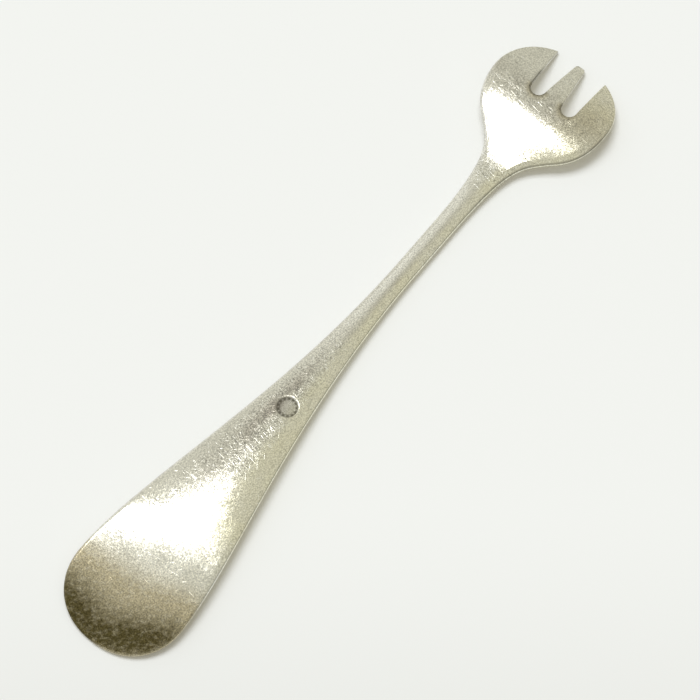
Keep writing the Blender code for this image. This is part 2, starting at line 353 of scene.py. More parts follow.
class StageSetup(bpy.types.PropertyGroup):
    """Table, light and camera."""
    elevation: FloatProperty(name="Elevation", description="Height of the camera over the table",
                             default=np.radians(69.78), subtype="ANGLE")
    azimuth: FloatProperty(name="Azimuth", description="Direction of the camera round the fork",
                           default=np.radians(309.0), subtype="ANGLE")
    distance: length("Distance", "From the camera to the point it looks at", 527.7)
    aim: FloatVectorProperty(name="Aim", description="Point that the camera looks at", size=3,
                             default=(-0.305 * MM, -1.612 * MM, 0.0), subtype="TRANSLATION")
    lens: FloatProperty(name="Lens", description="Focal length on a 36 mm sensor", default=141.43,
                        unit="CAMERA")
    table_colour: colour("Table colour", "Matt board under the fork", "#DADEE2")
    glow_colour: colour("Glow colour", "Light that the board scatters into shadows", "#FFF3D0")
    sky_colour: colour("Sky colour", "Warm light of the room", "#FDFCEE")
    window_colour: colour("Window colour", "Cooler light from the camera's left", "#F7F9FF")
    lamp_distance: FloatProperty(name="Lamp distance", default=12.0, unit="LENGTH",
                                 description="From the fork to each lamp")
    sky: FloatProperty(name="Sky", description="Brightness of the room overhead", default=0.55)
    horizon: FloatProperty(name="Horizon", description="Brightness of the room low down", default=0.08)
    walls: FloatProperty(name="Walls", default=0.2,
                         description="Brightness that the walls gain where the silver mirrors them")
    window: FloatProperty(name="Window side", default=0.6,
                          description="Brightness that the room gains towards the camera's left")


class SilverFinish(bpy.types.PropertyGroup):
    """Colours of the metal and of what has settled on it."""
    silver: colour("Silver", "Bare, hand polished metal", "#EBE9DE")
    film: colour("Yellow film", "Thin tarnish on the right-hand side", "#F0ECD5")
    # This grey is patina on the brow and stem, and also paints dark reflection on the handle by the mark,
    # the left rim and the slots' walls.
    patina_and_reflection: colour("Grey patina", "Dull grey where fine scratches have filled", "#B4AEA4")
    olive: colour("Olive tarnish", "Tarnish where the handle's end is seldom rubbed", "#BDB397")
    brown: colour("Brown tarnish", "Thickest tarnish, at the handle's very end", "#564E30")
    # This dark colour is dirt in the mark and the slots' roots, and it also paints the dark reflection
    # along the right rim and shade on the slots' walls.
    dirt_shade_and_reflection: colour("Dirt", "Dirt along the slots and the right rim, and in the punched mark", "#4A4535")


def srgb(code):
    """Linear RGBA of an sRGB hex value."""
    value = np.array([int(code[i:i + 2], 16) / 255 for i in (1, 3, 5)])
    linear = np.where(value <= 0.04045, value / 12.92, ((value + 0.055) / 1.055) ** 2.4)
    return (*linear, 1.0)


def bezier(points, count):
    """Cubic curve: the four points, each times its Bernstein weight, without the last point."""
    t = np.linspace(0.0, 1.0, count, endpoint=False)[:, None]
    a, b, c, d = np.array(points)
    return (1 - t) ** 3 * a + 3 * t * (1 - t) ** 2 * b + 3 * t ** 2 * (1 - t) * c + t ** 3 * d


def superellipse(angle, fullness):
    """Cosine and sine of the angle, each with its size raised to 2 over the fullness."""
    cosine, sine = np.cos(angle), np.sin(angle)
    power = 2 / fullness
    return np.sign(cosine) * np.abs(cosine) ** power, np.sign(sine) * np.abs(sine) ** power


def smoothstep(low, high, value):
    """0 before low and 1 past high, with the cubic 3t^2 - 2t^3 between them."""
    t = np.clip((value - low) / (high - low), 0.0, 1.0)
    return t * t * (3 - 2 * t)


def bell(value, middle, reach):
    """A bell curve: e to the minus square of the distance from its middle over its reach."""
    return np.exp(-((value - middle) / reach) ** 2)


def left_outline(form):
    """The fork's left edge from the handle's end to the left tip, as close points.

    A superellipse rounds the handle's end. Cubic curves make the taper, the neck and the shoulder,
    with a straight stem between them, and a second superellipse rounds the head to its tips.
    """
    handle, stem = form.handle_width / 2, form.stem_width / 2
    shoulder, head = form.shoulder_width / 2, HEAD_WIDTH / 2
    widest_x = END_X + form.handle_end_length
    head_x = TIP_X - form.head_front_length
    shoulder_x = head_x - form.shoulder_length
    neck_x = shoulder_x - form.neck_length
    stem_x = neck_x - form.stem_length
    run = stem_x - widest_x
    start, finish = NECK_PULL[0] * form.neck_length, NECK_PULL[1] * form.neck_length
    turn, swell = SHOULDER_PULL[0] * form.shoulder_length, SHOULDER_PULL[1] * form.shoulder_length
    slope = form.shoulder_slope

    angle = np.linspace(0.0, np.pi / 2, OUTLINE_SAMPLES, endpoint=False)
    cosine, sine = superellipse(angle, form.handle_end_fullness)
    end = np.column_stack((widest_x - form.handle_end_length * cosine, handle * sine))
    taper = bezier(((widest_x, handle), (widest_x + TAPER_PULL[0] * run, handle),
                    (stem_x - TAPER_PULL[1] * run, stem), (stem_x, stem)), OUTLINE_SAMPLES)
    straight = np.linspace((stem_x, stem), (neck_x, stem), OUTLINE_SAMPLES, endpoint=False)
    neck = bezier(((neck_x, stem), (neck_x + start, stem),
                   (shoulder_x - finish, shoulder - finish * slope), (shoulder_x, shoulder)),
                  OUTLINE_SAMPLES)
    rise = bezier(((shoulder_x, shoulder), (shoulder_x + turn, shoulder + turn * slope),
                   (head_x - swell, head), (head_x, head)), OUTLINE_SAMPLES)
    tip_share = (form.tip_spread / HEAD_WIDTH) ** (form.head_front_fullness / 2)
    angle = np.linspace(0.0, np.arccos(tip_share), OUTLINE_SAMPLES)
    cosine, sine = superellipse(angle, form.head_front_fullness)
    front = np.column_stack((head_x + form.head_front_length * sine / sine[-1], head * cosine))
    return np.vstack((end, taper, straight, neck, rise, front))


def along(x, section, heights):
    """A smooth curve through one height at each station along the fork.

    Each slope is the harmonic mean of the two chords that meet there, and level where they turn
    back, so the curve has no humps of its own. The outermost slopes are those of a parabola.
    """
    place = END_X + np.array(section.stations)
    height = np.array(heights)
    run = np.diff(place)
    chord = np.diff(height) / run
    slope = np.zeros(len(place))
    same_way = chord[:-1] * chord[1:] > 0
    inner = np.where(same_way, chord[:-1] * chord[1:], 0.0)
    slope[1:-1] = 2 * inner / np.where(same_way, chord[:-1] + chord[1:], 1.0)
    slope[0] = 2 * chord[0] - slope[1]
    slope[-1] = 2 * chord[-1] - slope[-2]
    span = np.clip(np.searchsorted(place, x) - 1, 0, len(run) - 1)
    t = (x - place[span]) / run[span]
    return ((1 + 2 * t) * (1 - t) ** 2 * height[span] + t * (1 - t) ** 2 * run[span] * slope[span]
            + t ** 2 * (3 - 2 * t) * height[span + 1] + t ** 2 * (t - 1) * run[span] * slope[span + 1])


def seam(form, section):
    """Where the rounded edge meets the flat of the fork: half its width as a function of X.

    The seam is the outline moved inwards, square to itself, by the edge's rounding.
    """
    path = left_outline(form)
    tangent = np.gradient(path, axis=0)
    tangent /= np.linalg.norm(tangent, axis=1)[:, None]
    inward = np.column_stack((tangent[:, 1], -tangent[:, 0]))
    moved = path + along(path[:, 0], section, section.rounding)[:, None] * inward
    return moved[moved[:, 1] >= END_ROW]


def row_places(edge, mark, detail):
    """X of each straight row: even steps along the seam, and fine steps at the punched mark."""
    edge = edge[edge[:, 0] <= FAN_START]
    step = np.linalg.norm(np.diff(edge, axis=0), axis=1)
    middle = (edge[1:, 0] + edge[:-1, 0]) / 2
    reach = mark.diameter / 2 + MARK_MARGIN
    near = smoothstep(reach + 2 * MARK_MARGIN, reach, np.abs(middle - mark.place[0]))
    density = (1 - near) / detail.row_step + near / detail.mark_step
    count = np.concatenate(([0.0], np.cumsum(step * density)))
    return np.interp(np.linspace(0.0, count[-1], int(count[-1])), count, edge[:, 0])


Slot = namedtuple("Slot", "side root radius angle tips")


def slot_seam(form, section, side, root_offset):
    """The seam round a slot: its root's centre, radius and ends, and its outer and inner tip.

    The walls are straight lines that touch the round root and open towards the tips. Their seam
    lies outside the slot by the slot's rounding.
    """
    radius = form.slot_root_width / 2
    root = np.array((TIP_X - form.slot_depth + radius, root_offset))
    mouths = np.array(((TIP_X, form.tip_spread / 2 - form.outer_tine_point),
                       (TIP_X, form.middle_tine_tip / 2)))
    towards = mouths - root
    turn = np.arccos(radius / np.linalg.norm(towards, axis=1)) * (1, -1)
    angle = np.arctan2(towards[:, 1], towards[:, 0]) + turn
    normal = np.column_stack((np.cos(angle), np.sin(angle)))
    reach = section.slot_rounding
    wall = mouths - (root + radius * normal)
    tips = root + (radius + reach) * normal + wall * (1 - reach / wall[:, :1])
    flip = np.array((1.0, side))
    return Slot(side, root * flip, radius + reach, angle, tips * flip)


def root_arc(slot, count):
    """Points round a slot's root, from its outer wall to its inner wall."""
    turn = np.linspace(slot.angle[0], slot.angle[1] + 2 * np.pi, count)
    return slot.root + slot.radius * np.column_stack((np.cos(turn), slot.side * np.sin(turn)))


def numbered(grid, first):
    """The number of each point of a grid, counted row by row from the first one."""
    rows, columns = grid.shape[:2]
    return first + np.arange(rows * columns).reshape(rows, columns)


class ForkPlan:
    """The fork's flat seen from above, as one grid for the palm and one for each tine.

    Rows run straight across the handle. Towards the head they bend by degrees until the last row
    follows the slots' roots, and each tine goes on from its own stretch of that row.
    """

    def __init__(self, form, section, mark, detail):
        self.edge = seam(form, section)
        self.slots = (slot_seam(form, section, 1, form.left_root_offset),
                      slot_seam(form, section, -1, form.right_root_offset))
        self.stops = np.cumsum((0, *detail.columns))
        front = self.front_row(detail.columns)
        grids = [self.palm_grid(front, mark, detail)]
        tines = self.tine_grids(front, form, section, detail.tine_rows)
        self.index = [numbered(grids[0], 0)]
        used = self.index[0].size
        for tine, first, last in zip(tines, self.stops[::2], self.stops[1::2]):
            numbers = numbered(tine, used)
            used += numbers.size
            self.index.append(np.vstack((self.index[0][-1, first:last + 1], numbers)))
            grids.append(tine)
        self.points = np.vstack([grid.reshape(-1, 2) for grid in grids])

    def half(self, x):
        """Half the width of the flat, by X."""
        return np.interp(x, self.edge[:, 0], self.edge[:, 1])

    def front_row(self, columns):
        """The palm's last row, from left to right: across each tine's base and round each slot's root."""
        left_tine, left_root, middle, right_root, right_tine = columns
        left_arc = root_arc(self.slots[0], left_root + 1)
        right_arc = root_arc(self.slots[1], right_root + 1)[::-1]
        left_base = np.array((left_arc[0, 0], self.half(left_arc[0, 0])))
        right_base = np.array((right_arc[-1, 0], -self.half(right_arc[-1, 0])))
        return np.vstack((np.linspace(left_base, left_arc[0], left_tine, endpoint=False),
                          left_arc[:-1],
                          np.linspace(left_arc[-1], right_arc[0], middle, endpoint=False),
                          right_arc[:-1],
                          np.linspace(right_arc[-1], right_base, right_tine + 1)))

    def palm_grid(self, front, mark, detail):
        """Rows of even shares across, which turn by a smooth step into the front row's shares.

        From the fan's start each column keeps its share, in even steps of X to the front row.
        """
        front_share = front[:, 1] / self.half(front[:, 0])
        even_share = np.linspace(1.0, -1.0, len(front))
        x = row_places(self.edge, mark, detail)[:, None]
        bend = smoothstep(BEND_START, FAN_START, x)
        share = (1 - bend) * even_share + bend * front_share
        straight = np.dstack((np.repeat(x, len(front), axis=1), share * self.half(x)))
        fan_rows = int((front[:, 0].mean() - FAN_START) / detail.row_step)
        onward = np.linspace(0.0, 1.0, fan_rows + 1)[1:, None]
        fan_x = FAN_START + onward * (front[:, 0] - FAN_START)
        fan = np.dstack((fan_x, front_share * self.half(fan_x)))
        return np.vstack((straight, fan))

    def tine_grids(self, front, form, section, rows):
        """Each tine's rows past the front row, evenly spaced between the tine's two sides.

        The slots' sides are straight, and the outer ones follow the seam. The middle tine's last row is
        narrowed by the wear of its tip.
        """
        left, right = self.slots
        outer_tip = (TIP_X - section.slot_rounding, 0.0)
        starts = front[self.stops]
        tips = np.array((outer_tip, *left.tips, *right.tips[::-1], outer_tip))
        sides = starts + np.linspace(0.0, 1.0, rows + 1)[:, None, None] * (tips - starts)
        sides[:, 0, 1] = self.half(sides[:, 0, 0])
        sides[:, -1, 1] = -self.half(sides[:, -1, 0])
        sides[-1, 2, 1] -= form.tip_wear
        sides[-1, 3, 1] += form.tip_wear
        tines = []
        for side, columns in zip((0, 2, 4), np.diff(self.stops)[::2]):
            start, stop = sides[1:, side, None], sides[1:, side + 1, None]
            tines.append(start + np.linspace(0.0, 1.0, columns + 1)[:, None] * (stop - start))
        return tines

    def loop(self):
        """Numbers of the points round the whole edge, anticlockwise seen from above."""
        palm, left, middle, right = self.index
        front = palm[-1]
        around = [palm[:, -1], right[1:, -1], right[-1, -2::-1], right[-2::-1, 0],
                  front[self.stops[4] - 1:self.stops[3]:-1],
                  middle[:, -1], middle[-1, -2::-1], middle[-2::-1, 0],
                  front[self.stops[2] - 1:self.stops[1]:-1],
                  left[:, -1], left[-1, -2::-1], left[-2::-1, 0],
                  palm[-2::-1, 0], palm[0, 1:-1]]
        return np.concatenate(around)


def side_share(across, section):
    """Share of the roll by side: a smooth step from all of it on the right to less on the left."""
    return 1 + (section.left_roll - 1) * smoothstep(*ROLL_CHANGE, across)


def back_height(plan, section):
    """Height of the back: its middle's height less the crown times a power of the share across.

    Near the edge a parabola, over the roll's reach, takes the roll's drop off as well.
    """
    x, y = plan.points.T
    half = plan.half(x)
    back, crown, power, roll, reach = (along(x, section, heights) for heights in
                                       (section.back, section.crown, section.crown_power,
                                        section.roll, section.roll_reach))
    near = np.clip(1 - (half - np.abs(y)) / reach, 0.0, 1.0)
    roll = roll * side_share(y / half, section)
    return back - crown * np.abs(y / half) ** power - roll * near ** 2


def face_height(plan, section):
    """Height of the face: the back's edge less the edge's thickness, with the hollow's parabola."""
    x, y = plan.points.T
    share = y / plan.half(x)
    back, crown, roll, edge, hollow = (
        along(x, section, heights) for heights in
        (section.back, section.crown, section.roll, section.edge, section.hollow))
    return back - crown - roll * side_share(share, section) - edge + hollow * (1 - share ** 2)


def mark_height(places, mark):
    """Depth and relief of the punched mark, by distance from its middle as a share of its radius.

    The floor drops by a smooth step, and a wider one draws the metal round it down. Each bead is a
    dome, one minus the square of the distance from its middle.
    """
    off = (places - np.array(mark.place)) / (mark.diameter / 2)
    far = np.linalg.norm(off, axis=1)
    turn = 2 * np.pi / mark.beads
    angle = np.arctan2(off[:, 1], off[:, 0]) % turn - turn / 2
    from_bead = np.hypot(far - BEAD_RING, BEAD_RING * angle) / BEAD_RADIUS
    bead = mark.bead_height * np.clip(1 - from_bead ** 2, 0.0, 1.0)
    floor = mark.depth * (1 - smoothstep(FLOOR_EDGE, 1.0, far))
    dish = mark.dish * (1 - smoothstep(1.0, 1.0 + DISH_REACH, far))
    return bead - floor - dish


def from_line(places, start, stop):
    """Distance of each place from a straight line between two points, and its share along it."""
    run = stop - start
    share = np.clip(((places - start) @ run) / (run @ run), 0.0, 1.0)
    return np.linalg.norm(places - start - share[:, None] * run, axis=1), share


def tarnish_map(x, y, rim_share, form):
    """Tarnish: a straight ramp to the handle's end, which reaches further along on the right.

    The ramp steepens with the distance from the middle line. Some is rubbed off the border and the rim
    on the right, by smooth steps, and a bell curve puts a faint patch on the head.
    """
    ramp = (TARNISH_MIDDLE - x - TARNISH_SLANT * np.minimum(y, 0.0)) / TARNISH_RUN
    ramp = ramp * (1 + np.abs(y) / TARNISH_STEEPENING)
    tarnish = np.clip(0.5 + TARNISH_MOST * ramp, 0.0, TARNISH_MOST)
    end_length = form.handle_end_length
    border = np.hypot((x - END_X - end_length) / end_length, y / (form.handle_width / 2))
    rubbed = smoothstep(*RUBBED_STEP, y)
    tarnish *= 1 - BORDER_LOSS * smoothstep(*BORDER_STEP, border) * rubbed
    tarnish *= 1 - RIM_LOSS * rim_share * rubbed
    from_patch = np.hypot(x - HEAD_TARNISH_PLACE[0], y - HEAD_TARNISH_PLACE[1])
    return np.maximum(tarnish, HEAD_TARNISH * bell(from_patch, 0.0, HEAD_TARNISH_REACH))


def painted_rim_reflection_and_slot_dirt(x, across, rim_share):
    """Painted dark reflection on the right rim, a bell curve of the share round it, and a little dirt and
    painted shade on the slots' rims.
    """
    right_rim = bell(rim_share, *RIM_REFLECTION_BAND) * smoothstep(*RIM_REFLECTION_START, rim_share)
    right_rim = right_rim * smoothstep(*EDGE_STEP, -across) * smoothstep(*FRONT_STEP, x)
    slot_rim = rim_share * (1 - smoothstep(*EDGE_STEP, np.abs(across)))
    return np.maximum(right_rim * (RIM_PAINTED_REFLECTION + NECK_PAINTED_REFLECTION * smoothstep(*NECK_STEP, x)),
                      SLOT_RIM_DIRT_AND_SHADE * slot_rim)


def slot_dirt_shade_and_tarnish(places, slot, wall, outer, inner):
    """Dirt with painted shade, and tarnish, at a slot: bell curves of the distance from its outer wall and
    its root.

    The root's dirt and painted shade change by a smooth step from its outer side to its inner one.
    """
    from_wall, share = from_line(places, root_arc(slot, 2)[0], slot.tips[0])
    wall_dirt_and_shade = wall * bell(from_wall, 0.0, WALL_DIRT_AND_SHADE_REACH) * smoothstep(*WALL_DIRT_AND_SHADE_END, share)
    off = places - slot.root
    far = np.linalg.norm(off, axis=1)
    from_root = np.maximum(far - slot.radius, 0.0)
    turn = smoothstep(*ROOT_TURN, slot.side * off[:, 1] / far)
    behind = smoothstep(*ROOT_BACK, off[:, 0] / slot.radius)
    root_dirt_and_shade = (inner + (outer - inner) * turn) * behind * bell(from_root, 0.0, ROOT_DIRT_AND_SHADE_REACH)
    tarnish = ROOT_TARNISH * behind * bell(from_root, 0.0, ROOT_TARNISH_REACH)
    return np.maximum(wall_dirt_and_shade, root_dirt_and_shade), tarnish


def mark_dirt(places, from_mark, mark):
    """Dirt in the punched mark: some all over, and a bell curve of it between the beads."""
    raised = np.clip((mark_height(places, mark) + mark.depth) / mark.bead_height, 0.0, 1.0)
    dirt_shade_and_reflection = MARK_DIRT + BEAD_DIRT * bell(from_mark, *BEAD_DIRT_BAND) * (1 - raised)
    return np.where(from_mark < MARK_DIRT_EDGE, dirt_shade_and_reflection, 0.0)


def scratch_crowd(x, y, across):
    """How scratches crowd: the most of four patches, each a bell curve, two held in by smooth steps."""
    handle = bell(x, *HANDLE_SCRATCHES) * smoothstep(*HANDLE_RIGHT, across)
    handle = handle * smoothstep(*HANDLE_LEFT, across)
    brow = BROW_CROWD * bell(x, *BROW_SCRATCHES) * smoothstep(*BROW_SIDES, np.abs(across))
    from_patch = np.hypot(x - HEAD_CROWD_PLACE[0], HEAD_CROWD_STRETCH * (y - HEAD_CROWD_PLACE[1]))
    head = HEAD_CROWD * bell(from_patch, 0.0, HEAD_CROWD_REACH)
    neck = NECK_CROWD * bell(x, *NECK_SCRATCHES)
    return np.maximum.reduce((handle, brow, head, neck))


def patina_and_reflection_map(x, across, rim_share):
    """Grey patina and painted dark reflection: the most of three bell curves on the back and of two
    stretches of the rim.
    """
    # The handle's patch by the mark is painted dark reflection; the brow's and the stem's grey is patina.
    handle = HANDLE_PAINTED_REFLECTION * bell(x, *HANDLE_REFLECTION_ALONG) * bell(across, *HANDLE_REFLECTION_ACROSS)
    brow = BROW_PATINA * bell(x, *BROW_PATINA_ALONG)
    stem = smoothstep(*STEM_PATINA_START, x) * smoothstep(*STEM_PATINA_END, x)
    stem = STEM_PATINA * stem * bell(across, *STEM_PATINA_ACROSS)
    # Along the left rim and the slots' walls the grey is painted dark reflection.
    left_rim = LEFT_RIM_PAINTED_REFLECTION * rim_share * smoothstep(*EDGE_STEP, across)
    slot_walls = smoothstep(*SLOT_WALL_START, x) * (1 - smoothstep(*EDGE_STEP, np.abs(across)))
    return np.maximum.reduce((handle, brow, stem, left_rim, SLOT_WALL_PAINTED_REFLECTION * rim_share * slot_walls))


def wear_maps(points, rim_share, plan, form, mark):
    """How far tarnish, film, dirt with painted shade and reflection, patina with painted reflection and
    scratches have come at each point, from 0 to about 1.

    The film is a smooth step across the fork, towards the right. Scratches thin out under tarnish and
    stop at the punched mark.
    """
    places = points[:, :2]
    x, y = places.T
    across = np.clip(y / plan.half(x), -1.0, 1.0)
    from_mark = np.hypot(x - mark.place[0], y - mark.place[1]) / (mark.diameter / 2)
    tarnish = tarnish_map(x, y, rim_share, form)
    dirt_shade_and_reflection = np.maximum(painted_rim_reflection_and_slot_dirt(x, across, rim_share), mark_dirt(places, from_mark, mark))
    for slot, amounts in zip(plan.slots, (LEFT_SLOT_DIRT_AND_SHADE, RIGHT_SLOT_DIRT_AND_SHADE)):
        slot_dirt_and_shade, slot_tarnish = slot_dirt_shade_and_tarnish(places, slot, *amounts)
        dirt_shade_and_reflection = np.maximum(dirt_shade_and_reflection, slot_dirt_and_shade)
        tarnish = np.maximum(tarnish, slot_tarnish)
    scratched = FEW_SCRATCHES + (1 - FEW_SCRATCHES) * scratch_crowd(x, y, across)
    scratched = scratched * smoothstep(*MARK_CLEAR, from_mark) * (1 - TARNISH_HIDES * tarnish)
    return {"tarnish": tarnish, "dirt_shade_and_reflection": dirt_shade_and_reflection, "scratched": scratched,
            "film": smoothstep(*FILM_ACROSS, across) * smoothstep(*FILM_START, x),
            "patina_and_reflection": patina_and_reflection_map(x, across, rim_share)}


def edge_directions(loop_points):
    """Outward direction at each point of a closed loop, mitred where the loop turns a corner."""
    run = np.roll(loop_points, -1, axis=0) - loop_points
    run /= np.linalg.norm(run, axis=1)[:, None]
    normal = np.column_stack((run[:, 1], -run[:, 0]))
    both = normal + np.roll(normal, 1, axis=0)
    both /= np.linalg.norm(both, axis=1)[:, None]
    return both / np.maximum((both * normal).sum(axis=1), MITRE_LIMIT)[:, None]


def rim_grid(plan, loop, back, face, form, section, steps):
    """The edge between back and face, and each of its rows' share of the edge's reach.

    It is half a superellipse carried round the loop, as high as the metal is thick there and as deep
    as its rounding.
    """
    points = plan.points[loop]
    x = points[:, 0]
    reach = along(x, section, section.rounding)
    on_outline = np.abs(points[:, 1]) / plan.half(x) > OUTLINE_SHARE
    reach = np.where(on_outline, reach, np.minimum(reach, section.slot_rounding))
    reach = np.where(x < END_X + form.handle_end_length / 2, section.rounding[0], reach)
    angle = np.linspace(np.pi / 2, -np.pi / 2, steps + 1)[1:-1]
    cosine, sine = superellipse(angle, section.edge_fullness)
    middle, half = (back + face)[loop] / 2, (back - face)[loop] / 2
    rim = points + cosine[:, None, None] * (reach[:, None] * edge_directions(points))
    return np.dstack((rim, middle + sine[:, None] * half)), cosine


def quads(index):
    """Corner numbers of the faces of a grid, anticlockwise where columns run down Y and rows up X."""
    return np.stack((index[:-1, :-1], index[:-1, 1:], index[1:, 1:], index[1:, :-1]), -1).reshape(-1, 4)


def fork_mesh(form, section, mark, detail):
    """The back, the face and the edge that joins them, as one closed mesh.

    What would lie under the table is worn off flat, and the handle bows to the right by a smooth step.
    """
    plan = ForkPlan(form, section, mark, detail)
    count = len(plan.points)
    loop = plan.loop()
    back = back_height(plan, section)
    face = face_height(plan, section)
    rim, rim_share = rim_grid(plan, loop, back, face, form, section, detail.edge_steps)
    back = back + mark_height(plan.points, mark)
    points = np.vstack((np.column_stack((plan.points, back)), np.column_stack((plan.points, face)),
                        rim.reshape(-1, 3)))
    points[:, 2] = np.maximum(points[:, 2], 0.0)
    rim_share = np.concatenate((np.zeros(2 * count), np.repeat(rim_share, len(loop))))
    wear = wear_maps(points, rim_share, plan, form, mark)
    points[:, 1] -= form.handle_bow * smoothstep(END_X + form.bow_length, END_X, points[:, 0])

    rim_index = np.vstack((loop, numbered(rim, 2 * count), loop + count))
    rim_index = np.hstack((rim_index, rim_index[:, :1]))
    top = np.vstack([quads(grid) for grid in plan.index])
    faces = np.vstack((top, top[:, ::-1] + count, quads(rim_index.T)))
    mesh = bpy.data.meshes.new("fork_silver")
    mesh.from_pydata(points, [], faces.tolist())
    for name, values in wear.items():
        mesh.attributes.new(name, "FLOAT", "POINT").data.foreach_set("value", values)
    mesh.shade_smooth()
    return mesh


def add_node(tree, kind, settings=None, **links):
    """Add one node: settings are its properties, and links give its sockets a value or an output.

    A socket is named with underscores for spaces, or numbered as i0, i1 and so on.
    """
    node = tree.nodes.new(kind)
    for name, value in (settings or {}).items():
        setattr(node, name, value)
    for name, value in links.items():
        by_number = name[0] == "i" and name[1:].isdigit()
        socket = node.inputs[int(name[1:]) if by_number else name.replace("_", " ")]
        if isinstance(value, bpy.types.NodeSocket):
            tree.links.new(value, socket)
        else:
            socket.default_value = value
    return node


def scratch_lines(tree, place, scratched, families):
    """Scratches: each is a long ellipse round a random point, and chance keeps more where they crowd."""
    together = 0.0
    for turn, run, gap, share in families:
        turned = add_node(tree, "ShaderNodeMapping", {"vector_type": "TEXTURE"}, Vector=place,
                          Rotation=(0.0, 0.0, np.radians(turn)), Scale=(run * MM, gap * MM, 1.0))
        cell = add_node(tree, "ShaderNodeTexVoronoi", {"voronoi_dimensions": "2D"},
                        Vector=turned.outputs[0], Scale=1.0)
        chance = add_node(tree, "ShaderNodeSeparateXYZ", None, Vector=cell.outputs["Color"])
        chance = add_node(tree, "ShaderNodeMath", {"operation": "MULTIPLY_ADD"}, i0=scratched,
                          i1=share, i2=chance.outputs["X"])
        kept = add_node(tree, "ShaderNodeMath", {"operation": "GREATER_THAN"},
                        i0=chance.outputs[0], i1=1.0)
        line = add_node(tree, "ShaderNodeMapRange", None, Value=cell.outputs["Distance"],
                        From_Min=SCRATCH_EDGE[0], From_Max=SCRATCH_EDGE[1])
        together = add_node(tree, "ShaderNodeMath", {"operation": "MULTIPLY_ADD", "use_clamp": True},
                            i0=kept.outputs[0], i1=line.outputs["Result"], i2=together).outputs[0]
    return together


def layered_colour(tree, finish, wear, smudge, mottle, speckle):
    """The silver's colour under film, patina and painted reflection, tarnish, and dirt with painted shade
    and reflection, each laid on the last in patches.

    Tarnish goes from olive to brown as it thickens.
    """
    thin, thick = (add_node(tree, "ShaderNodeMapRange", {"interpolation_type": "SMOOTHSTEP"},
                            Value=wear["tarnish"], From_Min=low, From_Max=high).outputs["Result"]
                   for low, high in (THIN_TARNISH, THICK_TARNISH))
    silver = srgb(finish.silver)
    for amount, patches, (least, most), code in (
            (wear["film"], smudge, FILM_COVER, finish.film),
            (wear["patina_and_reflection"], smudge, PATINA_AND_REFLECTION_COVER, finish.patina_and_reflection),
            (thin, mottle, THIN_COVER, finish.olive),
            (thick, mottle, THICK_COVER, finish.brown),
            (wear["dirt_shade_and_reflection"], speckle, DIRT_SHADE_AND_REFLECTION_COVER, finish.dirt_shade_and_reflection)):
        share = add_node(tree, "ShaderNodeMapRange", None, Value=patches, From_Min=NOISE_RANGE[0],
                         From_Max=NOISE_RANGE[1], To_Min=least, To_Max=most)
        cover = add_node(tree, "ShaderNodeMath", {"operation": "MULTIPLY", "use_clamp": True},
                         i0=amount, i1=share.outputs["Result"])
        silver = add_node(tree, "ShaderNodeMix", {"data_type": "RGBA"}, Factor=cover.outputs[0],
                          i6=silver, i7=srgb(code)).outputs[2]
    return silver


def facet_normal(tree, place):
    """The surface's direction, tilted a little by chance in each small facet of the worn polish."""
    facet = add_node(tree, "ShaderNodeTexVoronoi", None, Vector=place, Scale=1 / FACET).outputs["Color"]
    tilt = add_node(tree, "ShaderNodeVectorMath", {"operation": "SUBTRACT"}, i0=facet,
                    i1=(NOISE_MIDDLE,) * 3)
    normal = add_node(tree, "ShaderNodeNewGeometry").outputs["Normal"]
    normal = add_node(tree, "ShaderNodeVectorMath", {"operation": "MULTIPLY_ADD"}, i0=tilt.outputs[0],
                      i1=(FACET_TILT,) * 3, i2=normal)
    return add_node(tree, "ShaderNodeVectorMath", {"operation": "NORMALIZE"},
                    i0=normal.outputs[0]).outputs[0]


